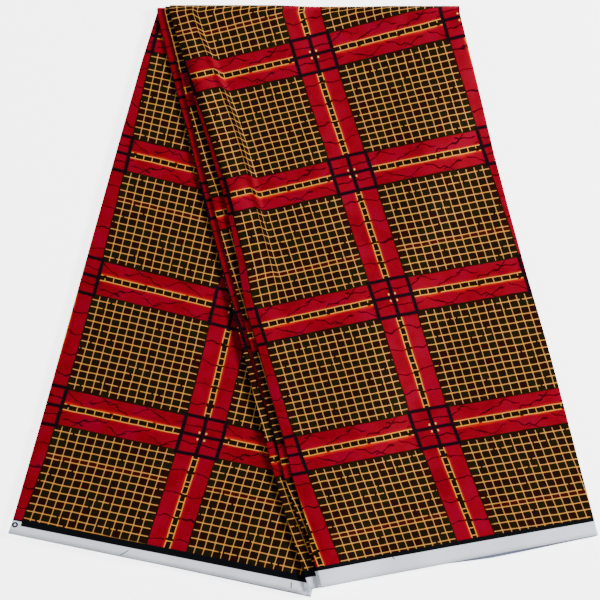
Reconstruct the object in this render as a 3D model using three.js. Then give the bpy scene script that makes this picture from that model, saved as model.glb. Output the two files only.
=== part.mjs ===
// A cut length of wax-printed cotton, folded as it is shown for sale. The cloth is laid back and
// forth into a flat strip, the strip is doubled over at the top, and its two ends lie spread on a
// surface like an upturned V: the front end slants to the right and lies on the back end, which
// slants to the left. It is all one sheet, so it is one solid.
// Millimetres, +Z up. The origin is on the surface, under the middle of the part.

import * as THREE from 'three';

// The sheet and its layers
const SHEET = 1.0; // thickness of the cloth
const AIR = 0.3; // air between two layers
const PITCH = SHEET + AIR; // height from one layer to the next
const FOLD_SPACE = (PITCH + SHEET) / 2; // a fold's tip lies this far beyond the middle of its arc
const FOLD_STEPS = 4; // straight sides of the arc of each lengthwise fold
const LEAST_STEP = 0.5; // a step nearer than this to a layer's end is left out

// Places across the strip, from its left fold at 0 to its right fold at ACROSS
const ACROSS = 300;
const TUCK_REACH = 88; // the upper tuck lies flat as far in as this
const UNDER_FOLD = 298; // right fold of the lower layers
const FREE_EDGE = 295; // cut edge of the lowest layer
const FLAP_EDGE = 230; // cut edge of the flap that is turned under the face
const STEPS_ACROSS = [TUCK_REACH, 116, 158, 200, FLAP_EDGE, 265];

// Height of the face in layers: it rides over the tuck at the left and the flap at the right
const FACE_LEVELS = [
  { place: 0, level: 5 },
  { place: 116, level: 5 },
  { place: 158, level: 3 },
  { place: 200, level: 3 },
  { place: FLAP_EDGE, level: 4 },
  { place: ACROSS, level: 4 },
];

// The fold over the top
const TOP_AXIS = 13.1; // how far down the plan its axis lies
const TOP_INNER = 0.8; // radius of its innermost layer
const TOP_STEPS = 6;

// The front end. down and left are the left fold's place in plan, right and below the corner of
// a 600 mm square. middle and upper are how far the two tucks lie in from that fold, crease is
// how far in a soft crease of the face runs, and lift is its height.
const FRONT = [
  { down: TOP_AXIS, left: 157.3, middle: 7.8, upper: 12.6, crease: 34.5, lift: 0 },
  { down: 45, left: 165.2, middle: 8.3, upper: 14.5, crease: 40.0, lift: 1.2 },
  { down: 112, left: 181.7, middle: 7.6, upper: 16.3, crease: 51.0, lift: 1.8 },
  { down: 150, left: 191.1, middle: 7.9, upper: 19.0, crease: 53.5, lift: 1.8 },
  { down: 190, left: 201.1, middle: 8.2, upper: 21.0, crease: 53.5, lift: 1.5 },
  { down: 230, left: 211.0, middle: 8.7, upper: 20.4, crease: 53.0, lift: 0.8 },
  { down: 262, left: 219.5, middle: 8.3, upper: 18.4, crease: 52.5, lift: 0 },
  { down: 306, left: 232.3, middle: 7.7, upper: 12.6, crease: 52.0, lift: 0 },
  { down: 345, left: 241.5, middle: 8.8, upper: 15.5, crease: 52.0, lift: 0 },
  { down: 400, left: 254.8, middle: 10.0, upper: 16.8, crease: 52.0, lift: 0 },
  { down: 442, left: 265.6, middle: 10.6, upper: 18.4, crease: 52.0, lift: 0 },
  { down: 480, left: 275.2, middle: 9.6, upper: 17.6, crease: 52.0, lift: 0 },
  { down: 516, left: 286.0, middle: 11.0, upper: 18.4, crease: 52.0, lift: 0 },
  { down: 545, left: 294.8, middle: 11.9, upper: 15.2, crease: 52.0, lift: 0 },
  { down: 589, left: 309.2, middle: 11.0, upper: 13.0, crease: 52.0, lift: 0 },
];
const FRONT_RIGHT = { top: { x: 459.3, y: TOP_AXIS }, foot: { x: 598.0, y: 535.0 } };
const CREASE_HALF = 6;

// The back end, given in the same way. Its tucks are hidden and keep their places at the top.
const BACK = [
  { down: TOP_AXIS, left: 157.3 },
  { down: 60, left: 142.5 },
  { down: 150, left: 117.0 },
  { down: 280, left: 80.8 },
  { down: 408, left: 45.2 },
  { down: 520, left: 13.0 },
  { down: 533, left: 8.3 },
];
const BACK_RIGHT = { top: { x: 459.3, y: TOP_AXIS }, foot: { x: 311.0, y: 596.0 } };

// Where the front end comes down from the back end to the surface, beside the back's right fold
const RAMP_START = 3;
const RAMP_LENGTH = 64;
const SETTLE = 32; // the front lies level on the back from this far below the top

// How far the lower layers' ends show past the upper ones at the foot of each end
const FACE_LOWEST = 3; // level of the face where it is lowest
const FRONT_PEEK = 3.0;
const BACK_PEEK = 1.6;

const mix = THREE.MathUtils.lerp;
const clamp01 = (value) => THREE.MathUtils.clamp(value, 0, 1);
const ease = (value) => THREE.MathUtils.smoothstep(value, 0, 1);

// Reads a table of rising places at one place, in straight lines between its rows.
function readTable(table, key, value, at) {
  let i = 1;
  while (i < table.length - 1 && table[i][key] < at) {
    i += 1;
  }
  const low = table[i - 1];
  const high = table[i];
  return mix(low[value], high[value], (at - low[key]) / (high[key] - low[key]));
}

const faceHeight = (place) => PITCH * readTable(FACE_LEVELS, 'place', 'level', place);

// Height of the top fold's axis, for which the back end's lowest layer lies on the surface
const axisHeight = (place) => SHEET / 2 + TOP_INNER + faceHeight(place);

// Height of the front end's lowest layer where it lies on the back end
const PILE = axisHeight(0) + TOP_INNER;

// The layers from the flap under the face down to the lowest, each from one place to the next
function layersOf(row) {
  const tuckEnd = TUCK_REACH + FOLD_SPACE;
  const flat = (level) => () => PITCH * level;
  return [
    { from: FLAP_EDGE, to: ACROSS, height: flat(3) },
    { from: ACROSS, to: row.upper, height: faceHeight },
    { from: row.upper, to: tuckEnd, height: flat(4) },
    { from: tuckEnd, to: row.middle, height: flat(3) },
    { from: row.middle, to: UNDER_FOLD, height: flat(2) },
    { from: UNDER_FOLD, to: 0, height: flat(1) },
    { from: 0, to: FREE_EDGE, height: flat(0) },
  ];
}

// Places across a row at which every layer that passes has a step
function stepsOf({ middle, upper, crease }) {
  const creased = [crease - CREASE_HALF, crease, crease + CREASE_HALF];
  return [0, middle, upper, ...creased, ...STEPS_ACROSS, ACROSS];
}

// The middle line of the sheet across a row, as places and heights above the lowest layer
function middleLine(row) {
  const line = [];
  const layers = layersOf(row);
  layers.forEach((layer, n) => {
    const next = layers[n + 1];
    const isFace = layer.height === faceHeight;
    const way = Math.sign(layer.to - layer.from);
    const start = layer.from + (n > 0 ? way * FOLD_SPACE : 0);
    const end = layer.to - (next ? way * FOLD_SPACE : 0);
    const between = stepsOf(row)
      .filter((place) => way * (place - start) > LEAST_STEP && way * (end - place) > LEAST_STEP)
      .sort((a, b) => way * (a - b));
    for (const place of [start, ...between, end]) {
      const lift = isFace && place === row.crease ? row.lift : 0;
      line.push({ place, height: layer.height(place) + lift });
    }
    for (let k = 1; next && k < FOLD_STEPS; k += 1) {
      const turn = (Math.PI * k) / FOLD_STEPS;
      const rise = (next.height(end) - layer.height(end)) / 2;
      line.push({
        place: end + (way * Math.sin(turn) * PITCH) / 2,
        height: layer.height(end) + (1 - Math.cos(turn)) * rise,
      });
    }
  });
  return line;
}

// Both faces of the sheet, half its thickness off the middle line, as one closed loop
function sectionOf(row) {
  const line = middleLine(row);
  const ways = line.slice(1).map((point, i) => wayBetween(line[i], point));
  const sides = line.map((point, i) => {
    const into = ways[i - 1] ?? ways[0];
    const out = ways[i] ?? ways.at(-1);
    const normal = { x: -(into.y + out.y), y: into.x + out.x };
    const reach = SHEET / (normal.x ** 2 + normal.y ** 2);
    const offset = (side) => ({
      place: point.place + side * normal.x * reach,
      height: point.height + side * normal.y * reach,
    });
    return [offset(1), offset(-1)];
  });
  return [...sides.map((pair) => pair[0]), ...sides.map((pair) => pair[1]).reverse()];
}

function wayBetween(from, to) {
  const x = to.place - from.place;
  const y = to.height - from.height;
  const length = Math.hypot(x, y);
  return { x: x / length, y: y / length };
}

// A straight row across one end, between its left and right folds
function rowOf(table, right, left) {
  const share = (left.down - TOP_AXIS) / (table.at(-1).down - TOP_AXIS);
  const start = { x: left.left, y: left.down };
  const end = { x: mix(right.top.x, right.foot.x, share), y: mix(right.top.y, right.foot.y, share) };
  return { start, end };
}

const onRow = (ends, place) => ({
  x: mix(ends.start.x, ends.end.x, place / ACROSS),
  y: mix(ends.start.y, ends.end.y, place / ACROSS),
});

// How far to the right of the back end's right fold a point of the plan lies
function besideBack(point) {
  const { top, foot } = BACK_RIGHT;
  const along = { x: foot.x - top.x, y: foot.y - top.y };
  const cross = along.y * (point.x - top.x) - along.x * (point.y - top.y);
  return cross / Math.hypot(along.x, along.y);
}

// Height of the front end's lowest layer: on the back end, then down to the surface beside it
function frontBase(point, place) {
  const settled = ease((point.y - TOP_AXIS) / SETTLE);
  const pile = mix(axisHeight(place) + TOP_INNER, PILE, settled);
  const down = ease((besideBack(point) - RAMP_START) / RAMP_LENGTH);
  return mix(pile, SHEET / 2, down);
}

// Heights at one row's steps, read in straight lines between them, so that the layers stay parallel
function levelAt(row, heightAt) {
  const table = stepsOf(row).map((place) => ({ place, height: heightAt(place) }));
  return (place) => readTable(table, 'place', 'height', place);
}

function frontRing(row, isFoot) {
  const ends = rowOf(FRONT, FRONT_RIGHT, row);
  const base = levelAt(row, (place) => frontBase(onRow(ends, place), place));
  return sectionOf(row).map(({ place, height }) => {
    const point = onRow(ends, place);
    const lower = clamp01(FACE_LOWEST - height / PITCH) * clamp01((2 * place) / ACROSS - 1);
    const peek = isFoot ? FRONT_PEEK * lower : 0;
    return [point.x, point.y + peek, base(place) + height];
  });
}

function topRing(row, turn) {
  const ends = rowOf(FRONT, FRONT_RIGHT, row);
  const axis = levelAt(row, axisHeight);
  return sectionOf(row).map(({ place, height }) => {
    const radius = TOP_INNER + height;
    return [
      onRow(ends, place).x,
      TOP_AXIS - radius * Math.sin(turn),
      axis(place) + radius * Math.cos(turn),
    ];
  });
}

function backRing(left, isFoot) {
  const row = { ...FRONT[0], ...left };
  const ends = rowOf(BACK, BACK_RIGHT, row);
  const axis = levelAt(row, axisHeight);
  return sectionOf(row).map(({ place, height }) => {
    const point = onRow(ends, place);
    const lower = clamp01(height / PITCH - 2) * clamp01(place / ACROSS - 1 / 3);
    const peek = isFoot ? BACK_PEEK * lower : 0;
    return [point.x, point.y + peek, axis(place) - TOP_INNER - height];
  });
}

// The rings from the front foot up, over the top and down the back
function ringsOfCloth() {
  const rings = FRONT.slice(1).reverse().map((row, i) => frontRing(row, i === 0));
  for (let k = 0; k <= TOP_STEPS; k += 1) {
    rings.push(topRing(FRONT[0], (Math.PI * k) / TOP_STEPS));
  }
  BACK.slice(1).forEach((left, i) => rings.push(backRing(left, i === BACK.length - 2)));
  return rings;
}

// Joins the rings into one closed skin, with an end face across the sheet's thickness at each foot
function clothGeometry() {
  const rings = ringsOfCloth();
  const count = rings[0].length;
  const indices = [];
  const at = (ring, i) => ring * count + (i % count);
  for (let ring = 0; ring < rings.length - 1; ring += 1) {
    for (let i = 0; i < count; i += 1) {
      const [a, b] = [at(ring, i), at(ring, i + 1)];
      const [c, d] = [at(ring + 1, i), at(ring + 1, i + 1)];
      const rising = rings[ring][(i + 1) % count][0] > rings[ring][i][0];
      indices.push(...(rising ? [a, b, d, a, d, c] : [a, b, c, b, d, c]));
    }
  }
  for (let i = 0; i < count / 2 - 1; i += 1) {
    const [a, b, c, d] = [i, i + 1, count - 2 - i, count - 1 - i];
    const last = (rings.length - 1) * count;
    indices.push(a, c, b, a, d, c);
    indices.push(last + a, last + b, last + c, last + a, last + c, last + d);
  }
  const positions = rings.flat().flatMap(([x, y, z]) => [x, -y, z]);
  const geometry = new THREE.BufferGeometry();
  geometry.setAttribute('position', new THREE.Float32BufferAttribute(positions, 3));
  geometry.setIndex(indices);
  geometry.computeBoundingBox();
  const middle = geometry.boundingBox.getCenter(new THREE.Vector3());
  geometry.translate(-middle.x, -middle.y, -geometry.boundingBox.min.z);
  geometry.computeVertexNormals();
  return geometry;
}

const printedCotton = new THREE.MeshStandardMaterial({
  color: 0x5e2418,
  roughness: 0.7,
  metalness: 0,
});

const part = new THREE.Group();
const cloth = new THREE.Mesh(clothGeometry(), printedCotton);
cloth.name = 'cloth';
part.add(cloth);

export default part;
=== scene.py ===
# Dresses the folded length of wax-printed cotton: one thin sheet on the folds of its solid, with
# the print, the selvedges and the weave, and a pale studio floor under a camera straight above.
# Lengths are in millimetres of plan or of flat cloth until they are scaled by MM. The plan is seen
# from above, x to the right and y down, over a square of 600 mm.

import math

import bpy
import numpy as np
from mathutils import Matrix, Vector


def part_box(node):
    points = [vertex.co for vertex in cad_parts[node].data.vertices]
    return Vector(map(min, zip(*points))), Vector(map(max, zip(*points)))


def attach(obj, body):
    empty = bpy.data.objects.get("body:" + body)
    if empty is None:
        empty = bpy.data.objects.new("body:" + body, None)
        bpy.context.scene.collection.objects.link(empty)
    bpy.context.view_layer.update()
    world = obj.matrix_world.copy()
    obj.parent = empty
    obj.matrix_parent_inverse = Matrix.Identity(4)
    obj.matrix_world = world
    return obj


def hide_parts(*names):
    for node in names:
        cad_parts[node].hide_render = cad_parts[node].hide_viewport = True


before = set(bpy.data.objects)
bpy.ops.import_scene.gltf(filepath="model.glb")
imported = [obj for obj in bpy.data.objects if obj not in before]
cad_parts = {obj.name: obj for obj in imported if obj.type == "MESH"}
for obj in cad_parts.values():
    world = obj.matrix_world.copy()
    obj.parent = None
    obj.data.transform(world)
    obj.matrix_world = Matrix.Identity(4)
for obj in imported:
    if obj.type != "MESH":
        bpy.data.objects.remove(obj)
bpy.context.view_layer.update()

MM = 0.001
PLAN_LEFT = 8.26  # the solid's left and top edges in the plan
PLAN_TOP = 5.3

# The sheet and its layers
SOLID_SHEET = 1.0
SHEET = 0.45
AIR = 0.3
PITCH = SOLID_SHEET + AIR
FOLD_STEPS = 7

# Places across the strip, from its left fold at 0 to its right fold at ACROSS
ACROSS = 300.0
TUCK_END = 89.0
UNDER_FOLD = 298.0
FREE_EDGE = 295.0
FLAP_EDGE = 230.0

# The fold over the top
TOP_AXIS = 13.1
TOP_INNER = 0.8
TOP_STEPS = 14
TOP_REACH = 3.6  # how far up the plan the innermost layer would go over the fold

# How far apart the rows of the mesh are along each end
ROW_STEP = 5.2

# Where the front end comes down from the back end to the floor, and how far down it has settled
# from the height of the fold over the top to that of the pile
RAMP_START = 3.0
RAMP_LENGTH = 64.0
SETTLE = 32.0

# How far the lower layers show past the foot of each end, easing in within FOOT_REACH of it
FRONT_PEEK = 2.8
BACK_PEEK = 1.6
FOOT_REACH = 60.0

# A slight waviness of the front end, which grows over WAVY_AFTER from the top
WAVINESS = 0.7
WAVY_AFTER = 60.0

# The layers in their order along the sheet. The back end has the lowest on top.
FLAP, FACE_SHEET, TUCK_TOP, TUCK_BASE, UNDER_TOP, UNDER_BASE, LOWEST = range(7)


def table(names, *rows):
    """Columns by name, for reading in straight lines between the rows."""
    columns = np.array(rows, float).T
    return dict(zip(names.split(), columns))


def read(columns, key, name, at):
    """Reads a table at a place or places. Its key column may rise or fall."""
    keys, values = columns[key], columns[name]
    if keys[0] > keys[-1]:
        keys, values = keys[::-1], values[::-1]
    return np.interp(at, keys, values)


# Level of the face, in layers, over the tuck at the left and the flap at the right
FACE = table("place level", (0, 5), (116, 5), (158, 3), (200, 3), (230, 4), (300, 4))

# The front end. down and left place the left fold, middle and upper are how far in from it the
# two tucks lie, crease is how far in the face's soft crease runs, and lift is its height. puff is
# the height of the face's rise beside its left fold.
FRONT = table(
    "down left middle upper crease lift puff",
    (13.1, 157.3, 7.8, 12.6, 34.5, 0.0, 0.0),
    (45, 165.2, 8.3, 14.5, 40.0, 1.3, 3.0),
    (70, 171.2, 8.0, 15.2, 44.0, 1.6, 4.8),
    (112, 181.7, 7.6, 16.3, 51.0, 2.0, 4.8),
    (150, 191.1, 7.9, 19.0, 53.5, 2.0, 4.2),
    (190, 201.1, 8.2, 21.0, 53.5, 1.7, 3.4),
    (230, 211.0, 8.7, 20.4, 53.0, 1.0, 2.6),
    (262, 219.5, 8.3, 18.4, 52.5, 0.4, 2.0),
    (306, 232.3, 7.7, 12.6, 52.0, 0.0, 1.5),
    (345, 241.5, 8.8, 15.5, 52.0, 0.0, 1.3),
    (400, 254.8, 10.0, 16.8, 52.0, 0.0, 0.7),
    (442, 265.6, 10.6, 18.4, 52.0, 0.0, 0.6),
    (480, 275.2, 9.6, 17.6, 52.0, 0.0, 0.5),
    (516, 286.0, 11.0, 18.4, 52.0, 0.0, 0.4),
    (545, 294.8, 11.9, 15.2, 52.0, 0.0, 0.2),
    (589, 309.2, 11.0, 13.0, 52.0, 0.0, 0.0),
)
FRONT_RIGHT = ((459.3, TOP_AXIS), (598.0, 535.0))
# How far in from a straight line the right fold of the front end runs
EDGE = table(
    "down inward", (13, 0), (110, 1.4), (170, 2.8), (235, 2.8), (300, 2.2), (370, 0.4), (400, 0)
)
# How much of FRONT_PEEK the lower layers show past the foot of the front end
SHOWING = table("place share", (0, 0), (140, 0), (185, 1.0), (215, 0.9), (280, 0.3), (300, 0.25))
CREASE_HALF = 6.0

# The puff's reach from the left fold, the share of the reach at which it is highest, and the share
# of its height that it has at the fold itself
PUFF_REACH = 38.0
PUFF_PEAK = 0.24
PUFF_AT_FOLD = 0.3

BACK = table(
    "down left",
    (13.1, 157.3),
    (60, 142.5),
    (150, 117.0),
    (280, 80.8),
    (408, 45.2),
    (520, 13.0),
    (533, 8.3),
)
BACK_RIGHT = ((459.3, TOP_AXIS), (311.0, 596.0))


def ease(value):
    t = np.clip(value, 0, 1)
    return t * t * (3 - 2 * t)


def mix(a, b, t):
    return a + (b - a) * t


# The folds of the sheet


def face_height(place):
    """Height of the face above the lowest layer, easing between the levels of its table."""
    places, levels = FACE["place"], FACE["level"]
    span = np.clip(np.searchsorted(places, place) - 1, 0, len(places) - 2)
    share = (place - places[span]) / (places[span + 1] - places[span])
    return PITCH * mix(levels[span], levels[span + 1], ease(share))


def axis_height(place):
    """Height of the line that the sheet turns about over the top."""
    return SOLID_SHEET / 2 + TOP_INNER + face_height(place)


PILE = float(axis_height(np.array([0.0]))[0]) + TOP_INNER


def spread(*stops):
    """Places from stop to stop, each stop given with its count of steps up to the next."""
    places = []
    for (start, count), (end, _) in zip(stops, stops[1:]):
        places.extend(np.linspace(start, end, count, endpoint=False))
    return places + [stops[-1][0]]


def layers_of(row):
    """Level and stops of each layer, in their order. A stop is a place and the count of steps from
    it to the next. The face has levels of its own, so its level is None."""
    crease, upper, middle = row["crease"], row["upper"], row["middle"]
    inset = (PITCH + SHEET) / 2
    face = [
        (ACROSS - inset, 5),
        (ACROSS - 14, 30),
        (crease + 9, 14),
        (crease - 9, 6),
        (upper + 7, 7),
        (upper + inset, 0),
    ]
    return [
        (3, [(FLAP_EDGE, 7), (ACROSS - 8, 3), (ACROSS - inset, 0)]),
        (None, face),
        (4, [(upper + inset, 3), (upper + 8, 8), (TUCK_END - inset, 0)]),
        (3, [(TUCK_END - inset, 7), (middle + 26, 7), (middle + inset, 0)]),
        (2, [(middle + inset, 3), (middle + 9, 18), (UNDER_FOLD - inset, 0)]),
        (1, [(UNDER_FOLD - inset, 16), (24, 8), (inset, 0)]),
        (0, [(inset, 3), (9, 32), (FREE_EDGE, 0)]),
    ]


def puffed(share):
    """How high the face stands between its left fold at 0 and the end of its rise at 1."""
    up = mix(PUFF_AT_FOLD, 1.0, ease(share / PUFF_PEAK))
    return up * (1 - ease((share - PUFF_PEAK) / (1 - PUFF_PEAK)))


def heights_of(level, places, row):
    """Heights along a layer of one level, or along the face with its crease and its puff."""
    if level is not None:
        return np.full(len(places), PITCH * level)
    near = np.abs(places - row["crease"]) / CREASE_HALF
    crease = row["lift"] * (1 - ease(near))
    return face_height(places) + crease + row["puff"] * puffed((places - row["upper"]) / PUFF_REACH)


def section(row):
    """The sheet's middle line across a row: layer number, place and height of each point."""
    layers = layers_of(row)
    points = []
    for n, (level, stops) in enumerate(layers):
        places = np.array(spread(*stops))
        heights = heights_of(level, places, row)
        points.extend((n, p, h) for p, h in zip(places, heights))
        if n + 1 == len(layers):
            continue
        way = math.copysign(1, places[-1] - places[0])
        below = heights_of(layers[n + 1][0], places[-1:], row)[0]
        for k in range(1, FOLD_STEPS):
            turn = math.pi * k / FOLD_STEPS
            place = places[-1] + way * math.sin(turn) * PITCH / 2
            height = mix(heights[-1], below, (1 - math.cos(turn)) / 2)
            points.append((n + k / FOLD_STEPS, place, height))
    return np.array(points).T


def row_at(down):
    return {name: float(read(FRONT, "down", name, down)) for name in FRONT}


def ends_of(down, left, foot_down, right):
    """The plan points at the left and right folds of a straight row across one end."""
    share = (down - TOP_AXIS) / (foot_down - TOP_AXIS)
    top, foot = np.array(right)
    return np.array([left, down]), mix(top, foot, share)


def across(ends, place):
    start, end = ends
    return start[None, :] + np.outer(place / ACROSS, end - start)


def beside_back(points):
    """How far to the right of the back end's right fold points of the plan lie."""
    top, foot = np.array(BACK_RIGHT)
    along = (foot - top) / np.linalg.norm(foot - top)
    return along[1] * (points[:, 0] - top[0]) - along[0] * (points[:, 1] - top[1])


def waviness(points):
    """A soft, uneven rise of the cloth over the plan, from 0 to 1. Its waves are irregular, some
    140 mm long across and 230 mm down."""
    x, y = points.T
    wave = np.sin(x / 23 + 0.6 * np.sin(y / 41)) * np.sin(y / 37 + x / 90 + 1.3)
    return 0.5 + 0.5 * wave


def front_base(points, place):
    """Height that the front end's lowest layer lies at: on the back end, or down on the floor."""
    settled = ease((points[:, 1] - TOP_AXIS) / SETTLE)
    pile = mix(axis_height(place) + TOP_INNER, PILE, settled)
    down = ease((beside_back(points) - RAMP_START) / RAMP_LENGTH)
    return mix(pile, SOLID_SHEET / 2, down)


# The print's layout on the cloth, in millimetres of cloth: u across the strip and v along it.
# A band runs along u = 0 and every REPEAT_U beside it, and another along v = 0 and every REPEAT_V.
REPEAT_U = 153.0
REPEAT_V = 128.0
BAND_U = 18.1  # half the width of a band
BAND_V = 16.4

# Where the band along u = 0 runs on the front end, how steeply the rows rise on either side of
# it, in degrees, and the plan's millimetres for each one of cloth along them
BAND = table(
    "v x y rise_left rise_right gain_left gain_right",
    (-130, 276.5, -67.5, 14.4, 15.2, 0.995, 0.995),
    (-60, 297.0, -2.3, 14.2, 15.2, 0.995, 0.995),
    (0, 313.9, 55.2, 13.3, 14.6, 0.995, 0.994),
    (45, 327.3, 97.8, 13.2, 13.0, 0.997, 0.992),
    (95, 342.2, 142.5, 13.2, 12.3, 0.998, 0.988),
    (128, 352.2, 173.3, 13.0, 11.6, 1.0, 0.988),
    (256, 392.7, 297.0, 12.1, 10.0, 1.008, 0.996),
    (384, 433.4, 427.2, 11.0, 9.8, 1.012, 1.014),
    (492.5, 475.5, 537.2, 10.9, 8.9, 1.02, 1.024),
    (640, 533.0, 687.0, 10.9, 8.7, 1.02, 1.024),
)
RISE_BLEND = 40.0  # how far to either side of the band its two slopes blend

# The face's soft crease: its course, how far the rows step down across it to the right, and how
# much cloth it takes up
CREASE = table(
    "y x drop take",
    (5, 193, 6.5, 4.0),
    (33, 201, 6.8, 4.2),
    (73, 218.7, 7.0, 5.2),
    (114, 233.8, 6.8, 7.6),
    (146.5, 244.2, 6.5, 8.0),
    (192, 255, 6.3, 7.6),
    (231, 264.6, 5.0, 5.5),
    (262, 272.5, 2.5, 4.2),
    (300, 284.0, 0.0, 0.6),
    (330, 293.0, 0.0, 0.0),
    (600, 380.0, 0.0, 0.0),
)
CREASE_PRINT_HALF = 4.5

# The same for the back end: the band along u = 0 and the line u = FAR, at its left edge
FAR = 134.0
BACK_BANDS = table(
    "v x y far_x far_y",
    (60, 331.5, -74.0, 190.2, -105.8),
    (-60, 305.0, 16.0, 169.0, -14.0),
    (-128, 290.6, 67.2, 155.8, 36.2),
    (-256, 262.0, 187.0, 129.2, 154.8),
    (-384, 232.6, 310.0, 98.7, 277.3),
    (-448, 218.2, 372.6, 81.3, 341.0),
    (-512, 202.0, 436.3, 61.7, 406.2),
    (-565, 184.3, 491.3, 44.6, 462.3),
    (-619.5, 165.4, 550.4, 23.6, 519.4),
    (-700, 138.7, 636.4, -5.1, 605.2),
)

# The print at the folds that show beside the face: u at each, and how far down its rows have slid
STRIPS = table(
    "down middle_u left_u slid",
    (8, 43.5, -17, 8),
    (90, 42.4, -18, 12),
    (130, 40.6, -20, 13),
    (163, 39.2, -20, 15),
    (193, 36.0, -20, 16),
    (226, 34.5, -20, 15),
    (256, 33.3, -20, 12),
    (300, 31.4, -20, 9),
    (346, 30.2, -23.3, 7),
    (409, 28.0, -27, 5),
    (440, 27.4, -28.7, 4),
    (485, 26.8, -31.7, 4),
    (513, 24.0, -33.3, 3),
    (536, 22.6, -35.4, 3),
    (570, 21.0, -39, 2),
    (589, 20.0, -40, 2),
)
MIDDLE_REPEATS = 2  # whole repeats between the face and each fold
LEFT_REPEATS = 5
BACK_REPEATS = 6
RIGHT_U = -522.0  # u at the hidden fold on the right
BACK_UPPER_U = 20.0 - REPEAT_U  # u at the face's left fold in the back end
FLAP_CLOTH = 71.0  # how much cloth the flap takes

# How much of its slide the print has on each hidden layer of the front end
SLID_SHARE = {FLAP: 0, TUCK_TOP: 0.5, TUCK_BASE: 1, UNDER_TOP: 0.5, UNDER_BASE: 0, LOWEST: 0}

# How much more cloth the outermost layer takes over the top than the innermost, and each layer's
# share of it
OUTER_ARC = 18.0
OUTER_SHARE = np.array([0.6, 1.0, 0.8, 0.6, 0.4, 0.2, 0.0])

# Between which values v is looked for on each end, and how often the span is halved
FRONT_V = (-160.0, 720.0)
BACK_V = (70.0, -820.0)
HALVINGS = 34


def solve(f, count, span):
    """Where f crosses nought for each of its points, within one span for all."""
    low, high = np.full(count, span[0]), np.full(count, span[1])
    sign = np.sign(f(low))
    for _ in range(HALVINGS):
        halfway = (low + high) / 2
        same = np.sign(f(halfway)) == sign
        low = np.where(same, halfway, low)
        high = np.where(same, high, halfway)
    return (low + high) / 2


def front_print(points):
    """u and v at points of the plan that the front end's face covers."""
    x, y = points.T
    past = x - read(CREASE, "y", "x", y) + CREASE_PRINT_HALF
    left_of = 1 - ease(past / (2 * CREASE_PRINT_HALF))
    taken = read(CREASE, "y", "take", y) * left_of
    y = y + read(CREASE, "y", "drop", y) * left_of

    def rises(v):
        left, right = read(BAND, "v", "rise_left", v), read(BAND, "v", "rise_right", v)
        blend = ease((x - read(BAND, "v", "x", v) + RISE_BLEND) / (2 * RISE_BLEND))
        return np.radians(mix(left, right, blend))

    def off_row(v):
        a = rises(v)
        return (x - read(BAND, "v", "x", v)) * np.sin(a) + (y - read(BAND, "v", "y", v)) * np.cos(a)

    v = solve(off_row, len(x), FRONT_V)
    a = rises(v)
    away = (x - read(BAND, "v", "x", v)) * np.cos(a) - (y - read(BAND, "v", "y", v)) * np.sin(a)
    gain = np.where(away > 0, read(BAND, "v", "gain_right", v), read(BAND, "v", "gain_left", v))
    return away / gain - taken, v


def back_print(points):
    """The same for the back end."""
    x, y = points.T

    def ends(v):
        near = np.array([read(BACK_BANDS, "v", name, v) for name in ("x", "y")])
        far = np.array([read(BACK_BANDS, "v", name, v) for name in ("far_x", "far_y")])
        return near, far - near

    def off_row(v):
        near, along = ends(v)
        return (x - near[0]) * along[1] - (y - near[1]) * along[0]

    v = solve(off_row, len(x), BACK_V)
    near, along = ends(v)
    share = ((x - near[0]) * along[0] + (y - near[1]) * along[1]) / (along**2).sum(0)
    return FAR * share, v


def layer_of(order):
    return np.floor(order + 1e-6).astype(int)


def rated(places, folds):
    """u along a layer between two folds: (place, u, sure) each. It follows the places within sure
    of a fold, and what is left over goes into the hidden cloth between."""
    (p0, u0, sure0), (p1, u1, sure1) = folds
    way = math.copysign(1, p1 - p0)
    stops = [0, sure0, abs(p1 - p0) - sure1, abs(p1 - p0)]
    values = [u0, u0 - sure0, u1 + sure1, u1]
    return np.interp(way * (places - p0), stops, values)


def hidden_folds(row, right_u, upper_u, middle_u, left_u):
    """The two folds of each layer that is hidden in both ends, as rated takes them."""
    upper, middle = row["upper"], row["middle"]
    tuck_u = (upper_u + middle_u) / 2
    return {
        FLAP: ((FLAP_EDGE, right_u + FLAP_CLOTH, 10), (ACROSS, right_u, 20)),
        TUCK_TOP: ((upper, upper_u, 20), (TUCK_END, tuck_u, 2)),
        TUCK_BASE: ((TUCK_END, tuck_u, 2), (middle, middle_u, 30)),
        UNDER_TOP: ((middle, middle_u, 10), (UNDER_FOLD, RIGHT_U, 5)),
        UNDER_BASE: ((UNDER_FOLD, RIGHT_U, 5), (0, left_u, 40)),
    }


def front_uv(order, place, points, row):
    """The print's u and v at the points of one row of the front end."""
    u, v = front_print(points)
    on_face = u[order == FACE_SHEET]
    right_u, upper_u = float(on_face[0]), float(on_face[-1])
    down = row["down"]
    middle_u = float(read(STRIPS, "down", "middle_u", down)) - MIDDLE_REPEATS * REPEAT_U
    left_u = float(read(STRIPS, "down", "left_u", down)) - LEFT_REPEATS * REPEAT_U
    folds = hidden_folds(row, right_u, upper_u, middle_u, left_u)
    folds[LOWEST] = ((0, left_u, 40), (FREE_EDGE, left_u - FREE_EDGE, 40))
    slid = float(read(STRIPS, "down", "slid", down))
    _, low_v = front_print(points - np.array([0, slid]))
    layer = layer_of(order)
    for n, pair in folds.items():
        at = layer == n
        u[at] = rated(place[at], pair)
        v[at] = mix(v[at], low_v[at], SLID_SHARE[n])
    return u, v


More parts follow.
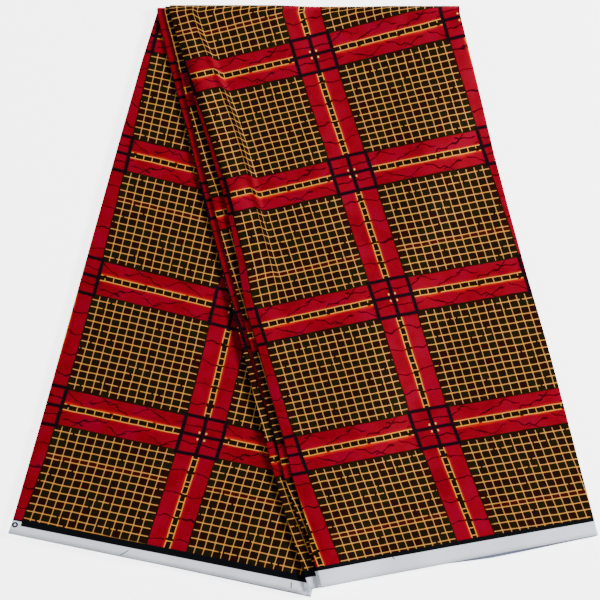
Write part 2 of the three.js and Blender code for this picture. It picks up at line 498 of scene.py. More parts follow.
def back_uv(order, place, points, row):
    """The same for the back end, whose upper face is the lowest layer's."""
    u, v = back_print(points)
    u = u - BACK_REPEATS * REPEAT_U
    layer = layer_of(order)
    left_u = float(u[layer == LOWEST][0])
    middle_u = float(STRIPS["middle_u"][0]) - MIDDLE_REPEATS * REPEAT_U
    right_u = BACK_UPPER_U + ACROSS - row["upper"]
    folds = hidden_folds(row, right_u, BACK_UPPER_U, middle_u, left_u)
    folds[FACE_SHEET] = ((ACROSS, right_u, 20), (row["upper"], BACK_UPPER_U, 20))
    for n, pair in folds.items():
        at = layer == n
        u[at] = rated(place[at], pair)
    return u, v - OUTER_ARC * OUTER_SHARE[layer]


# Width of each end's white selvedge at its left and its right fold, and of the layer's that shows
# at the left of the front end
SELVEDGE_FRONT = (17.4, 14.6)
SELVEDGE_BACK = (9.8, 12.4)
SELVEDGE_UNDER = 12.5
FAR_OFF = 400.0  # stands for the distance from the selvedge in the fold over the top


def selvedge(widths, place):
    left, right = widths
    return mix(left, right, place / ACROSS)


FRONT_FOOT = float(FRONT["down"][-1])
BACK_FOOT = float(BACK["down"][-1])


def rows_between(start, end, step):
    count = max(int(round(abs(end - start) / step)), 1)
    return np.linspace(start, end, count + 1)


def as_row(*columns):
    """A row of the sheet's middle surface from its x, y, z, u, v, selvedge width and distance from
    the selvedge's edge."""
    return np.array(columns).T


def front_row(down):
    row = row_at(down)
    order, place, height = section(row)
    start, end = ends_of(down, row["left"], FRONT_FOOT, FRONT_RIGHT)
    end = end - np.array([float(read(EDGE, "down", "inward", down)), 0])
    points = across((start, end), place)
    foot = across(ends_of(FRONT_FOOT, FRONT["left"][-1], FRONT_FOOT, FRONT_RIGHT), place)
    off_edge = np.linalg.norm(foot - points, axis=1)
    lower = np.clip(3 - height / PITCH, 0, 1) * read(SHOWING, "place", "share", place)
    peek = FRONT_PEEK * lower * ease(1 - off_edge / FOOT_REACH)
    loose = waviness(points) * ease((down - TOP_AXIS) / WAVY_AFTER) * np.clip(height / PITCH, 0, 1)
    z = front_base(points, place) + height + WAVINESS * loose
    u, v = front_uv(order, place, points, row)
    white = selvedge(SELVEDGE_FRONT, place)
    width = np.where(layer_of(order) == UNDER_BASE, SELVEDGE_UNDER, white)
    return as_row(points[:, 0], points[:, 1] + peek, z, u, v, width, off_edge)


def back_row(down):
    row = dict(row_at(TOP_AXIS), left=float(read(BACK, "down", "left", down)))
    order, place, height = section(row)
    points = across(ends_of(down, row["left"], BACK_FOOT, BACK_RIGHT), place)
    foot = across(ends_of(BACK_FOOT, BACK["left"][-1], BACK_FOOT, BACK_RIGHT), place)
    off_edge = np.linalg.norm(foot - points, axis=1)
    lower = np.clip(height / PITCH - 2, 0, 1) * np.clip(place / ACROSS - 1 / 3, 0, 1)
    peek = BACK_PEEK * lower * ease(1 - off_edge / FOOT_REACH)
    z = axis_height(place) - TOP_INNER - height
    u, v = back_uv(order, place, points, row)
    width = selvedge(SELVEDGE_BACK, place)
    return as_row(points[:, 0], points[:, 1] + peek, z, u, v, width, off_edge)


def top_rows():
    """The rows over the top, with the print passing evenly from the front end to the back end."""
    row = row_at(TOP_AXIS)
    order, place, height = section(row)
    points = across(ends_of(TOP_AXIS, row["left"], FRONT_FOOT, FRONT_RIGHT), place)
    front_u, front_v = front_uv(order, place, points, row)
    back_u, back_v = back_uv(order, place, points, row)
    radius = TOP_INNER + height
    reach = mix(TOP_REACH, radius.max(), radius / radius.max())
    width = selvedge(SELVEDGE_BACK, place)
    far = np.full(len(place), FAR_OFF)
    rows = []
    for k in range(1, TOP_STEPS):
        share = k / TOP_STEPS
        y = TOP_AXIS - reach * math.sin(math.pi * share)
        z = axis_height(place) + radius * math.cos(math.pi * share)
        u, v = mix(front_u, back_u, share), mix(front_v, back_v, share)
        rows.append(as_row(points[:, 0], y, z, u, v, width, far))
    return rows


def shape_of_cloth():
    """The sheet's middle surface, row by row from the front end's foot to the back end's."""
    front = [front_row(down) for down in rows_between(FRONT_FOOT, TOP_AXIS, ROW_STEP)]
    back = [back_row(down) for down in rows_between(TOP_AXIS, BACK_FOOT, ROW_STEP)]
    return np.array(front + top_rows() + back)


def to_frame(points):
    """Plan points in millimetres to the part's frame in metres."""
    low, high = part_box("cloth")
    lowered = (SOLID_SHEET - SHEET) / 2
    x = low.x + (points[..., 0] - PLAN_LEFT) * MM
    y = high.y - (points[..., 1] - PLAN_TOP) * MM
    z = (points[..., 2] - lowered) * MM
    return np.stack([x, y, z], axis=-1)


def normals_of(points):
    normal = np.cross(np.gradient(points, axis=0), np.gradient(points, axis=1))
    return normal / np.linalg.norm(normal, axis=-1, keepdims=True)


def corners(mesh):
    corner = np.zeros(len(mesh.loops), int)
    mesh.loops.foreach_get("vertex_index", corner)
    return corner


def set_uv(mesh, name, values):
    layer = mesh.uv_layers.new(name=name)
    layer.uv.foreach_set("vector", values.astype(np.float32).ravel())


# The map for baking. Its left half holds the front end. Its right half holds the fold over the top
# and the back end, with the inner skin and the rim beside them and, above them, the row of faces
# between the two halves.
MAP_LOW = 0.01
MAP_HIGH = 0.99
MAP_FRONT = (MAP_LOW, 0.5)
MAP_BACK = (0.515, 0.955)
MAP_INNER = (0.965, 0.985)
MAP_JOINT = (0.998, 0.994)
MAP_RIM = (0.992, 0.997)

# How much room the layers that show get in the map, and what hidden layers and folds get
FRONT_ROOM = {FACE_SHEET: 1.0, TUCK_BASE: 0.35, UNDER_BASE: 0.35}
BACK_ROOM = {LOWEST: 1.0}
HIDDEN_ROOM = 0.1
FOLD_ROOM = 0.15


def cumulated(weights, start, end):
    """Places from start to end whose steps are in the ratio of the weights."""
    sums = np.concatenate([[0.0], np.cumsum(weights)])
    return start + (end - start) * sums / sums[-1]


def column_weights(room):
    """How much room each step across the section gets."""
    order = section(row_at(FRONT_FOOT / 2))[0]
    layer = layer_of((order[1:] + order[:-1]) / 2)
    turning = order[1:] != order[:-1]
    weights = np.array([room.get(n, HIDDEN_ROOM) for n in layer])
    return np.where(turning, FOLD_ROOM, weights)


def skin_places(rows, columns, front_rows):
    """Places in the map of the outer skin's vertices and then of the inner skin's."""
    up = np.linspace(MAP_LOW, MAP_HIGH, front_rows)
    down = np.linspace(MAP_HIGH, MAP_LOW, rows - front_rows + 1)[1:]
    front = cumulated(column_weights(FRONT_ROOM), *MAP_FRONT)
    back = cumulated(column_weights(BACK_ROOM), *MAP_BACK)
    x = np.where(np.arange(rows)[:, None] < front_rows, front, back)
    y = np.broadcast_to(np.concatenate([up, down])[:, None], (rows, columns))
    inner_x, inner_y = np.linspace(*MAP_INNER, columns), np.linspace(MAP_LOW, MAP_HIGH, rows)
    inner = np.stack(np.broadcast_arrays(inner_x[None, :], inner_y[:, None]), -1)
    return np.concatenate([np.stack([x, y], -1).reshape(-1, 2), inner.reshape(-1, 2)])


def pairs(along):
    """The places of a strip of quads' four corners along it."""
    return np.stack([along[:-1], along[1:], along[1:], along[:-1]], -1)


def lay_out_for_baking(mesh, rows, columns):
    """A third map, in which the cloth that shows in the front and back ends has most room."""
    front_rows = len(rows_between(FRONT_FOOT, TOP_AXIS, ROW_STEP))
    values = skin_places(rows, columns, front_rows)[corners(mesh)].reshape(-1, 4, 2)
    joint = values[(front_rows - 1) * (columns - 1) :][: columns - 1]
    joint[:, :, 0] = pairs(np.linspace(*MAP_BACK, columns))
    joint[:, :, 1] = np.repeat(MAP_JOINT, 2)
    count = 2 * (rows + columns - 2)
    rim = values[-count:]
    rim[:, :, 0] = np.repeat(MAP_RIM, 2)
    rim[:, :, 1] = pairs(np.linspace(MAP_LOW, MAP_HIGH, count + 1))
    set_uv(mesh, "OFBake", values)


def two_skins(middle):
    """Vertices and faces of a closed sheet about a grid of points. The faces are those of the
    outer skin, of the inner skin and of the rim between them."""
    off = normals_of(middle) * SHEET / 2 * MM
    vertices = np.concatenate([(middle + off).reshape(-1, 3), (middle - off).reshape(-1, 3)])
    rows, columns = middle.shape[:2]
    skin = rows * columns
    number = np.arange(skin).reshape(rows, columns)
    quads = np.stack([number[:-1, :-1], number[:-1, 1:], number[1:, 1:], number[1:, :-1]], -1)
    quads = quads.reshape(-1, 4)
    rim = np.concatenate([number[:-1, 0], number[-1, :-1], number[:0:-1, -1], number[0, :0:-1]])
    onward = np.roll(rim, -1)
    edges = np.stack([rim + skin, onward + skin, onward, rim], -1)
    return vertices, np.concatenate([quads[:, ::-1], quads + skin, edges])


def make_cloth():
    grid = shape_of_cloth()
    vertices, faces = two_skins(to_frame(grid[..., :3]))
    mesh = bpy.data.meshes.new("ankara_cloth")
    mesh.from_pydata(vertices.tolist(), [], faces.tolist())
    for name, first in (("print", 3), ("selvedge", 5)):
        values = np.tile(grid[..., first : first + 2].reshape(-1, 2), (2, 1))
        set_uv(mesh, name, values[corners(mesh)])
    lay_out_for_baking(mesh, *grid.shape[:2])
    mesh.shade_smooth()
    mesh.update()
    cloth = bpy.data.objects.new("ankara_cloth", mesh)
    bpy.context.scene.collection.objects.link(cloth)
    return cloth


# Shader building


class Graph:
    """A material's nodes, with short ways to add them."""

    def __init__(self, name):
        self.material = bpy.data.materials.new(name)
        self.material.use_nodes = True
        self.tree = self.material.node_tree
        self.tree.nodes.clear()

    def node(self, kind, **values):
        made = self.tree.nodes.new(kind)
        for name, value in values.items():
            setattr(made, name, value)
        return made

    def join(self, value, socket):
        if isinstance(value, bpy.types.NodeSocket):
            self.tree.links.new(value, socket)
        else:
            socket.default_value = value

    def maths(self, operation, *values):
        made = self.node("ShaderNodeMath", operation=operation)
        for value, socket in zip(values, made.inputs):
            self.join(value, socket)
        return made.outputs[0]

    def add(self, a, b):
        return self.maths("ADD", a, b)

    def sub(self, a, b):
        return self.maths("SUBTRACT", a, b)

    def mul(self, a, b):
        return self.maths("MULTIPLY", a, b)

    def size(self, a):
        return self.maths("ABSOLUTE", a)

    def distance(self, a, b):
        return self.maths("SQRT", self.add(self.mul(a, a), self.mul(b, b)))

    def all_of(self, *masks):
        made = masks[0]
        for mask in masks[1:]:
            made = self.mul(made, mask)
        return made

    def any_of(self, *masks):
        made = masks[0]
        for mask in masks[1:]:
            made = self.maths("MAXIMUM", made, mask)
        return made

    def without(self, a, b):
        return self.mul(a, self.sub(1.0, b))

    def below(self, value, limit, soft=0.2):
        """1 where the value is below the limit, softened at the edge."""
        made = self.node("ShaderNodeMapRange", interpolation_type="SMOOTHSTEP")
        self.join(self.sub(value, limit), made.inputs["Value"])
        made.inputs["From Min"].default_value = -soft
        made.inputs["From Max"].default_value = soft
        made.inputs["To Min"].default_value = 1.0
        made.inputs["To Max"].default_value = 0.0
        return made.outputs[0]

    def above(self, value, limit, soft=0.2):
        return self.sub(1.0, self.below(value, limit, soft))

    def line(self, value, at, half, soft=0.2):
        """1 within half of a place."""
        return self.below(self.size(self.sub(value, at)), half, soft)

    def blend(self, share, a, b):
        made = self.node("ShaderNodeMix", data_type="RGBA")
        self.join(share, made.inputs["Factor"])
        self.join(a, made.inputs["A"])
        self.join(b, made.inputs["B"])
        return made.outputs["Result"]

    def noise(self, vector, scale, detail=2.0):
        """Soft noise from 0 to 1, mostly near a half, in waves of about 1 / scale millimetres."""
        made = self.node("ShaderNodeTexNoise", noise_dimensions="3D")
        self.join(vector, made.inputs["Vector"])
        made.inputs["Scale"].default_value = scale
        made.inputs["Detail"].default_value = detail
        return made.outputs[0]

    def sway(self, vector, scale, detail, by):
        """Soft noise about 0, up to half of by to either side."""
        return self.mul(self.sub(self.noise(vector, scale, detail), 0.5), by)

    def chance(self, x, y):
        """An even chance from 0 to 1 for each pair of whole numbers."""
        made = self.node("ShaderNodeTexWhiteNoise", noise_dimensions="2D")
        self.join(self.pair(x, y), made.inputs["Vector"])
        return made.outputs["Value"]

    def pair(self, x, y, z=0.0):
        made = self.node("ShaderNodeCombineXYZ")
        for value, socket in zip((x, y, z), made.inputs):
            self.join(value, socket)
        return made.outputs[0]

    def shader(self):
        """The material's one shader, joined to its output."""
        made = self.node("ShaderNodeBsdfPrincipled")
        output = self.node("ShaderNodeOutputMaterial")
        self.join(made.outputs[0], output.inputs["Surface"])
        return made

    def uv(self, name):
        place = self.node("ShaderNodeUVMap", uv_map=name)
        parts = self.node("ShaderNodeSeparateXYZ")
        self.join(place.outputs[0], parts.inputs[0])
        return parts.outputs[0], parts.outputs[1]


def srgb(code):
    """A hexadecimal screen colour as linear light."""
    parts = [int(code[i : i + 2], 16) / 255 for i in (0, 2, 4)]
    linear = [c / 12.92 if c <= 0.04045 else ((c + 0.055) / 1.055) ** 2.4 for c in parts]
    return (*linear, 1.0)


# The print's colours
RED = srgb("840017")
RED_DEEP = srgb("6C0014")
RED_ROSE = srgb("870020")
GLOW = srgb("C21400")
DARK = srgb("1A0D00")
DARK_GREEN = srgb("191500")
DARK_RED = srgb("220800")
PURPLE = srgb("16040D")
VEIN = srgb("1E0007")
ORANGE = srgb("C47F2D")
PALE = srgb("B68550")
KNOT = srgb("DE982E")
LADDER = srgb("D89238")
RUST = srgb("3C0803")
CREAM = srgb("DDB45A")
WHITE = srgb("F4F9FF")
WHITE_SOFT = srgb("E4ECFC")
# Painted shade: the blue-grey of the lower layers' selvedge where it shows past the front end's foot
UNDER_SHADE_PAINTED = srgb("7F89A6")
# Painted shade: the dark blue-grey line along the woven edge
EDGE_SHADE_PAINTED = srgb("8D95A8")
BORDER = srgb("090C0F")
INK = srgb("0C1232")

# The print's lines stray by up to half of this to either side, in waves 20 mm long
STRAY = 1.1
STRAY_SCALE = 0.05

# The grid in each block, and how far its lines stop short of the bands
FIRST_COLUMN = 27.2
COLUMN_PITCH = 8.35
LAST_COLUMN = 12
COLUMN_HALF = 0.4
FIRST_ROW = 23.0
ROW_PITCH = 6.93
LAST_ROW = 12
ROW_HALF = 0.47
ROW_STOP = 1.2
COLUMN_STOP_LOW = 1.9
COLUMN_STOP_HIGH = 1.2
KNOT_RADIUS = 1.3

# In every other block two rows lie close together, and the others are a little wider apart
FIRST_ROW_NARROW = 22.3
NARROW_AFTER = 8
NARROW_PITCH = 4.4
WIDER_PITCH = 7.2
CLOSE_MIDDLE = FIRST_ROW_NARROW + NARROW_AFTER * WIDER_PITCH + NARROW_PITCH / 2

# The chance above which a cell is greener and that below which it is redder
GREENER_ABOVE = 0.62
REDDER_BELOW = 0.22

# Rows break in the cells whose chance is above GAP_LUCK. The other two turn that chance into a
# place in the cell.
GAP_LUCK = 0.87
GAP_FROM = 0.84
GAP_SPREAD = 5.6
GAP_HALF = 1.0

# The ladders: where they lie off the middle of their bands, and half the width of each part
LADDER_U = -0.5
LADDER_V = 0.5
LADDER_HALF = 2.7
RAIL_HALF = 0.44
RUNG_HALF = 0.4

# The veins: how much of the red they cover, half the width of each kind, and how far apart they are
VEIN_SHARE = 0.93
CROSSING_VEIN = 0.58
STRAIGHT_VEIN = 0.55
RISING_VEIN = 0.6
FALLING_VEIN = 0.5
STRAIGHT_PITCH = 3 * ROW_PITCH
FIRST_STRAIGHT = 30.0
WANDERING_PITCH = 41.0
VEIN_SOFT = 0.25

# The wandering veins: how far off the band's middle each kind begins, how far it rises or falls
# over its pitch, how much it strays, and for which share of the pitch it runs
RISE_FROM = 2.2
RISE_BY = 17.0
RISE_STRAY = 12.0
RISE_SHARE = 0.8
FALL_FROM = 15.0
FALL_BY = 12.0
FALL_STRAY = 11.0
FALL_SHARE = 0.5
FALL_BEFORE = 0.45  # by which share of the pitch a falling one is before the next rising one

# The breaks where veins cross the ladders: half their width, and where the first along u lies
STRAIGHT_BREAK = 1.2
WANDERING_BREAK = 1.6
FIRST_BREAK = 46.0

# A crossing: its outer dark lines, half the width of its lines each way, and its four dots
CROSS_U = 19.2
CROSS_V = 18.1
CROSS_HALF_U = 1.9
CROSS_HALF_V = 1.6
CROSS_OUTER_HALF_V = 1.7
DOT_U = 3.2
DOT_V = 3.3
DOT_RADIUS = 0.95
DOT_SQUEEZE_U = 1.25  # DOT_RADIUS is divided by these for half a dot's width each way
DOT_SQUEEZE_V = 0.95


def off_nearest(graph, steps, pitch):
    """Distance from the nearest whole step."""
    return graph.mul(graph.sub(steps, graph.maths("ROUND", steps)), pitch)


def nearest_line(graph, steps, last, pitch):
    """Number of the nearest line of a block's grid, and the distance from it."""
    number = graph.maths("ROUND", steps)
    number = graph.maths("MINIMUM", graph.maths("MAXIMUM", number, 0.0), float(last))
    return number, graph.mul(graph.sub(steps, number), pitch)


def column_steps(graph, pu):
    return graph.mul(graph.sub(pu, FIRST_COLUMN), 1 / COLUMN_PITCH)


def row_steps(graph, pv, narrow):
    """Place in rows from the first one, and their pitch. narrow is 1 in the blocks that have two
    rows close together."""
    pitch = graph.add(ROW_PITCH, graph.mul(narrow, WIDER_PITCH - ROW_PITCH))
    past = graph.mul(graph.maths("GREATER_THAN", pv, CLOSE_MIDDLE), narrow)
    evened = graph.add(pv, graph.mul(past, WIDER_PITCH - NARROW_PITCH))
    first = graph.add(FIRST_ROW, graph.mul(narrow, FIRST_ROW_NARROW - FIRST_ROW))
    return graph.maths("DIVIDE", graph.sub(evened, first), pitch), pitch


def cell_colour(graph, cell, pv, narrow, flat):
    """Dark cells, some greener and some redder, and rust between the two close rows."""
    luck = graph.chance(*cell)
    cloudy = graph.noise(flat, 0.35)
    colour = graph.blend(graph.above(luck, GREENER_ABOVE, 0.05), DARK, DARK_GREEN)
    colour = graph.blend(graph.below(luck, REDDER_BELOW, 0.05), colour, DARK_RED)
    colour = graph.blend(graph.above(cloudy, 0.6, 0.1), colour, DARK)
    close = graph.mul(graph.line(pv, CLOSE_MIDDLE, NARROW_PITCH / 2), narrow)
    return graph.blend(graph.mul(close, 0.8), colour, RUST)


def row_break(graph, cell_u, u_steps, row):
    """Short breaks in the rows, each at its own place in a cell."""
    luck = graph.chance(graph.add(cell_u, 31.0), graph.add(row, 7.0))
    off = graph.mul(graph.sub(luck, GAP_FROM), GAP_SPREAD)
    place = graph.sub(graph.sub(u_steps, cell_u), off)
    near = graph.line(graph.mul(place, COLUMN_PITCH), 0.0, GAP_HALF, 0.4)
    return graph.all_of(graph.above(luck, GAP_LUCK, 0.01), near)


def grid_print(graph, pu, pv, narrow, flat):
    """Colour of the blocks between the bands: dark cells under a lattice of orange lines."""
    u_steps = column_steps(graph, pu)
    v_steps, pitch = row_steps(graph, pv, narrow)
    _, from_column = nearest_line(graph, u_steps, LAST_COLUMN, COLUMN_PITCH)
    row, from_row = nearest_line(graph, v_steps, LAST_ROW, pitch)
    cell = (graph.maths("FLOOR", u_steps), graph.maths("FLOOR", v_steps))
    row_line = graph.all_of(
        graph.below(graph.size(from_row), ROW_HALF),
        graph.above(pu, BAND_U + ROW_STOP),
        graph.below(pu, REPEAT_U - BAND_U - ROW_STOP),
    )
    row_line = graph.without(row_line, row_break(graph, cell[0], u_steps, row))
    column_line = graph.all_of(
        graph.below(graph.size(from_column), COLUMN_HALF),
        graph.above(pv, BAND_V + COLUMN_STOP_LOW),
        graph.below(pv, REPEAT_V - BAND_V - COLUMN_STOP_HIGH),
    )
    row_colour = graph.blend(graph.noise(flat, 0.13), ORANGE, PALE)
    column_colour = graph.blend(0.55, row_colour, PALE)
    colour = cell_colour(graph, cell, pv, narrow, flat)
    colour = graph.blend(column_line, colour, column_colour)
    colour = graph.blend(row_line, colour, row_colour)
    knot = graph.below(graph.distance(from_column, from_row), KNOT_RADIUS, 0.6)
    knot = graph.all_of(knot, graph.any_of(column_line, row_line))
    return graph.blend(graph.mul(knot, 0.75), colour, KNOT)


def ladder(graph, side, rung_off, broken):
    """Masks of a band's middle: the dark strip, and the rails and rungs on it. side is the
    distance from its middle line."""
    inside = graph.below(side, LADDER_HALF, 0.15)
    rails = graph.line(side, LADDER_HALF, RAIL_HALF)
    rungs = graph.all_of(graph.below(graph.size(rung_off), RUNG_HALF), inside)
    return inside, graph.without(graph.any_of(rails, rungs), broken)


def veined(graph, vein, red):
    return graph.blend(graph.mul(vein, VEIN_SHARE), red, VEIN)


def vertical_band(graph, pu, pv, narrow, flat, red):
    """The band along v: red, a ladder down its middle, and thin veins straight across it."""
    v_steps, pitch = row_steps(graph, pv, narrow)
    _, from_row = nearest_line(graph, v_steps, LAST_ROW, pitch)
    past = graph.add(graph.sub(pv, FIRST_STRAIGHT), graph.sway(flat, 0.06, 1.0, 14.0))
    share = graph.maths("FRACT", graph.add(graph.mul(past, 1 / STRAIGHT_PITCH), 0.5))
    off = graph.size(graph.mul(graph.sub(share, 0.5), STRAIGHT_PITCH))
    broken = graph.below(off, STRAIGHT_BREAK, 0.3)
    side = graph.size(graph.sub(pu, LADDER_U))
    inside, lines = ladder(graph, side, from_row, broken)
    glow = graph.all_of(graph.below(side, LADDER_HALF + 2.0, 1.0), graph.above(side, LADDER_HALF))
    dark = graph.any_of(inside, graph.mul(broken, graph.below(side, 3.6)))
    colour = veined(graph, graph.below(off, STRAIGHT_VEIN, VEIN_SOFT), red)
    colour = graph.blend(graph.mul(glow, 0.35), colour, GLOW)
    colour = graph.blend(dark, colour, DARK)
    return graph.blend(lines, colour, LADDER)


def wandering_veins(graph, pu, pv, seed):
    """Long veins, one after another, that rise and fall across half a band along u."""
    side = graph.size(pv)
    wander = graph.sub(graph.noise(graph.pair(pu, pv, seed * 17.0), 0.09, 1.0), 0.5)
    start = graph.add(graph.mul(pu, 1 / WANDERING_PITCH), seed * 0.37)
    share = graph.maths("FRACT", start)
    rise = graph.add(graph.mul(share, RISE_BY), RISE_FROM)
    rise = graph.add(rise, graph.mul(wander, RISE_STRAY))
    rising = graph.line(side, rise, RISING_VEIN, VEIN_SOFT)
    rising = graph.all_of(rising, graph.below(share, RISE_SHARE, 0.05))
    share = graph.maths("FRACT", graph.add(start, FALL_BEFORE))
    fall = graph.add(FALL_FROM, graph.mul(wander, FALL_STRAY))
    fall = graph.sub(fall, graph.mul(share, FALL_BY))
    falling = graph.line(side, fall, FALLING_VEIN, VEIN_SOFT)
    falling = graph.all_of(falling, graph.below(share, FALL_SHARE, 0.05))
    return graph.any_of(rising, falling)


def horizontal_band(graph, pu, pv, flat, red):
    """The band along u, with its ladder, a glow beside it and wandering veins in each half."""
    pv = graph.sub(pv, LADDER_V)
    side = graph.size(pv)
    lower = graph.maths("GREATER_THAN", pv, 0.0)
    vein = graph.any_of(
        graph.mul(wandering_veins(graph, pu, pv, 1.0), lower),
        graph.without(wandering_veins(graph, pu, pv, 2.4), lower),
    )
    vein = graph.all_of(vein, graph.above(side, LADDER_HALF - 1.5))
    break_steps = graph.mul(graph.sub(pu, FIRST_BREAK), 1 / WANDERING_PITCH)
    break_off = off_nearest(graph, break_steps, WANDERING_PITCH)
    broken = graph.all_of(graph.below(graph.size(break_off), WANDERING_BREAK, 0.4), lower)
    rung_off = off_nearest(graph, column_steps(graph, pu), COLUMN_PITCH)
    inside, lines = ladder(graph, side, rung_off, broken)
    reach = graph.add(graph.mul(graph.noise(flat, 0.05, 1.0), 4.0), 0.8)
    glow = graph.below(graph.sub(side, reach), LADDER_HALF - 1.0, 1.4)
    glow = graph.mul(glow, graph.add(0.25, graph.mul(lower, 0.55)))
    colour = graph.blend(glow, veined(graph, vein, red), GLOW)
    colour = graph.blend(inside, colour, DARK)
    return graph.blend(lines, colour, LADDER)


def crossing(graph, near_u, near_v, flat, red):
    """Where two bands cross: three dark lines each way and four cream dots at the middle."""
    side_u, side_v = graph.size(near_u), graph.size(near_v)
    vein_off = graph.add(graph.sub(side_v, BAND_V / 2), graph.sway(flat, 0.08, 2.0, 7.0))
    vein = graph.below(graph.size(vein_off), CROSSING_VEIN, VEIN_SOFT)
    lines = graph.any_of(
        graph.below(side_u, CROSS_HALF_U, 0.5),
        graph.line(side_u, CROSS_U, CROSS_HALF_U, 0.5),
        graph.below(side_v, CROSS_HALF_V, 0.5),
        graph.line(side_v, CROSS_V, CROSS_OUTER_HALF_V, 0.5),
    )
    colour = graph.blend(lines, veined(graph, vein, red), PURPLE)
    off_u = graph.mul(graph.sub(side_u, DOT_U), DOT_SQUEEZE_U)
    off_v = graph.mul(graph.sub(side_v, DOT_V), DOT_SQUEEZE_V)
    dot = graph.below(graph.distance(off_u, off_v), DOT_RADIUS, 0.35)
    return graph.blend(dot, colour, CREAM)


def patchy_red(graph, flat):
    """The bands' red, with soft patches of a rosier and of a deeper red."""
    patch = graph.noise(flat, 0.045, 3.0)
    red = graph.blend(graph.above(patch, 0.56, 0.12), RED, RED_ROSE)
    return graph.blend(graph.mul(graph.below(patch, 0.42, 0.1), 0.5), red, RED_DEEP)


def check_print(graph, u, v, flat):
    """The whole check, on lines that stray a little: blocks, then bands, then crossings."""
    turned = graph.pair(v, u)
    u = graph.add(u, graph.sway(flat, STRAY_SCALE, 1.0, STRAY))
    v = graph.add(v, graph.sway(turned, STRAY_SCALE, 1.0, STRAY))
    pu = graph.maths("WRAP", u, REPEAT_U - BAND_U, -BAND_U)
    pv = graph.maths("WRAP", v, REPEAT_V - BAND_V, -BAND_V)
    block = graph.maths("FLOOR", graph.mul(v, 1 / REPEAT_V))
    narrow = graph.maths("WRAP", block, 2.0, 0.0)
    red = patchy_red(graph, flat)
    in_u = graph.below(pu, BAND_U, 0.15)
    in_v = graph.below(pv, BAND_V, 0.15)
    colour = grid_print(graph, pu, pv, narrow, flat)
    colour = graph.blend(in_u, colour, vertical_band(graph, pu, pv, narrow, flat, red))
    colour = graph.blend(graph.without(in_v, in_u), colour, horizontal_band(graph, pu, pv, flat, red))
    near_u = graph.maths("WRAP", u, REPEAT_U / 2, -REPEAT_U / 2)
    near_v = graph.maths("WRAP", v, REPEAT_V / 2, -REPEAT_V / 2)
    box_u = graph.below(graph.size(near_u), CROSS_U + CROSS_HALF_U, 0.3)
    box_v = graph.below(graph.size(near_v), CROSS_V + CROSS_OUTER_HALF_V, 0.3)
    box = crossing(graph, near_u, near_v, flat, red)
    return graph.blend(graph.mul(box_u, box_v), colour, box)


# The black border beside the white of each end
BORDER_FRONT = 4.2
BORDER_BACK = 7.0
BACK_FROM = -REPEAT_U * 3  # the back end's foot and the lower layers lie below this in u

# The corner of the back end where the white reaches higher and the border is narrower
CORNER_U = -783.5
CORNER_WIDTH = 24.0
CORNER_RISE = 4.3
CORNER_BORDER = 5.6

# The lower layers' selvedge, painted a blue-grey shade where it shows past the foot of the front end,
# lies between these two places in u
UNDER_LOW = -640.0
UNDER_HIGH = -380.0

# Marks on the selvedges. A tick is placed by its u at the woven edge, how far it leans in u for
# each millimetre from that edge, and how far from the edge it begins and ends.
RING_U = -778.3
RING_OFF_EDGE = 10.0
RING_RADIUS = 2.0
RING_HALF = 0.85
TICKS = ((-878.5, -0.87, 1.5, 8.0), (-1040.0, 0.2, 4.0, 10.0), (-77.5, -0.4, 14.0, 17.5))
TICK_HALF = 0.5
EDGE_SHADE_WIDTH = 0.5  # width of the painted dark line of shade along the woven edge


def selvedge_marks(graph, u, off_edge):
    """A small ring and the short registration ticks printed on the selvedges."""
    away = graph.distance(graph.sub(u, RING_U), graph.sub(off_edge, RING_OFF_EDGE))
    marks = [graph.line(away, RING_RADIUS, RING_HALF)]
    for at, lean, low, high in TICKS:
        along = graph.sub(graph.sub(u, at), graph.mul(off_edge, lean))
        within = graph.all_of(graph.above(off_edge, low), graph.below(off_edge, high))
        marks.append(graph.all_of(graph.below(graph.size(along), TICK_HALF), within))
    return graph.any_of(*marks)


def selvedge_white(graph, u, v, off_edge, flat):
    """The white of the selvedges in soft patches of a greyer white, with a painted blue-grey shade on
    the lower layers and a painted dark line of shade along the woven edge.
    """
    pale = graph.blend(graph.noise(flat, 0.08, 2.0), WHITE, WHITE_SOFT)
    # Painted shade: the lower layers' selvedge turns blue-grey
    under = graph.all_of(graph.above(u, UNDER_LOW), graph.below(u, UNDER_HIGH), graph.above(v, 0.0))
    pale = graph.blend(under, pale, UNDER_SHADE_PAINTED)
    # A painted dark line of shade along the woven edge
    return graph.blend(graph.mul(graph.below(off_edge, EDGE_SHADE_WIDTH), 0.8), pale, EDGE_SHADE_PAINTED)


def selvedge_print(graph, u, v, width, off_edge, flat, colour):
    """The border, the white and its marks, over the check's colour."""
    corner = graph.mul(graph.above(u, CORNER_U), graph.below(u, CORNER_U + CORNER_WIDTH))
    back = graph.below(u, BACK_FROM)
    border = graph.add(BORDER_FRONT, graph.mul(back, BORDER_BACK - BORDER_FRONT))
    border = graph.add(border, graph.mul(corner, CORNER_BORDER - BORDER_BACK))
    border = graph.below(graph.sub(graph.sub(off_edge, width), border), 0.0, 0.4)
    width = graph.add(width, graph.mul(corner, CORNER_RISE))
    white = graph.below(off_edge, width, 0.3)
    colour = graph.blend(border, colour, BORDER)
    colour = graph.blend(white, colour, selvedge_white(graph, u, v, off_edge, flat))
    return graph.blend(selvedge_marks(graph, u, off_edge), colour, INK)


# The weave: how far apart its threads are, and how far u is squeezed to make its slubs long
THREAD_PITCH = 0.42
SLUB_SQUEEZE = 0.12


def weave(graph, u, v):
    """The slubs, and the relief of threads and slubs together."""
    around = 2 * math.pi / THREAD_PITCH
    warp = graph.maths("SINE", graph.mul(u, around))
    weft = graph.maths("SINE", graph.mul(v, around))
    slub = graph.noise(graph.pair(graph.mul(u, SLUB_SQUEEZE), v), 1.4, 3.0)
    return slub, graph.add(graph.mul(graph.mul(warp, weft), 0.5), graph.mul(slub, 0.9))


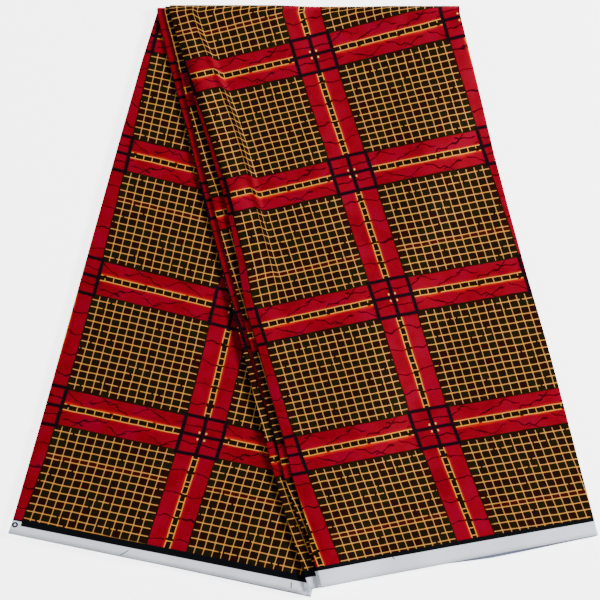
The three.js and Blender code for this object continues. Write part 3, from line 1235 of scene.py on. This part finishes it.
def printed_cotton():
    graph = Graph("printed_cotton")
    u, v = graph.uv("print")
    width, off_edge = graph.uv("selvedge")
    flat = graph.pair(u, v)
    colour = check_print(graph, u, v, flat)
    colour = selvedge_print(graph, u, v, width, off_edge, flat, colour)
    slub, relief = weave(graph, u, v)
    bump = graph.node("ShaderNodeBump")
    bump.inputs["Strength"].default_value = 0.22
    bump.inputs["Distance"].default_value = 0.0002
    graph.join(relief, bump.inputs["Height"])
    shader = graph.shader()
    graph.join(colour, shader.inputs["Base Color"])
    graph.join(graph.add(0.68, graph.mul(graph.sub(slub, 0.5), 0.16)), shader.inputs["Roughness"])
    shader.inputs["Specular IOR Level"].default_value = 0.03
    graph.join(bump.outputs[0], shader.inputs["Normal"])
    return graph.material


def plain_floor():
    graph = Graph("pale_floor")
    shader = graph.shader()
    shader.inputs["Base Color"].default_value = (0.95, 0.95, 0.95, 1.0)
    shader.inputs["Roughness"].default_value = 0.9
    shader.inputs["Emission Color"].default_value = (1.0, 1.0, 1.0, 1.0)
    shader.inputs["Emission Strength"].default_value = 4.0
    return graph.material


def add_floor():
    bpy.ops.mesh.primitive_plane_add(size=12)
    floor = bpy.context.object
    floor.name = "floor"
    floor.data.materials.append(plain_floor())


# One soft light from the right, in metres and watts, and an even white sky
KEY_PLACE = (2.3, 0.7, 1.55)
KEY_SIZE = 0.7
KEY_POWER = 172
SKY = 0.42


def add_key():
    light = bpy.data.lights.new("key", "AREA")
    light.shape = "SQUARE"
    light.size = KEY_SIZE
    light.energy = KEY_POWER
    obj = bpy.data.objects.new("key", light)
    obj.location = KEY_PLACE
    obj.rotation_euler = (-obj.location).to_track_quat("-Z", "Y").to_euler()
    bpy.context.scene.collection.objects.link(obj)


def add_sky():
    world = bpy.data.worlds.new("studio")
    world.use_nodes = True
    background = world.node_tree.nodes["Background"]
    background.inputs["Color"].default_value = (1.0, 1.0, 1.0, 1.0)
    background.inputs["Strength"].default_value = SKY
    bpy.context.scene.world = world


# The camera looks straight down on the middle of the plan's square
CAMERA_HEIGHT = 4.0
VIEW_WIDTH = 0.6
VIEW_MIDDLE = 300.0


def add_camera():
    data = bpy.data.cameras.new("camera")
    data.sensor_width = 36.0
    data.lens = data.sensor_width * CAMERA_HEIGHT / VIEW_WIDTH
    data.clip_end = 20.0
    camera = bpy.data.objects.new("camera", data)
    middle = to_frame(np.array([[VIEW_MIDDLE, VIEW_MIDDLE, 0.0]]))[0]
    camera.location = (float(middle[0]), float(middle[1]), CAMERA_HEIGHT)
    bpy.context.scene.collection.objects.link(camera)
    bpy.context.scene.camera = camera


add_camera()
cloth = make_cloth()
cloth.data.materials.append(printed_cotton())
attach(cloth, "root")
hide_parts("cloth")
add_floor()
add_key()
add_sky()
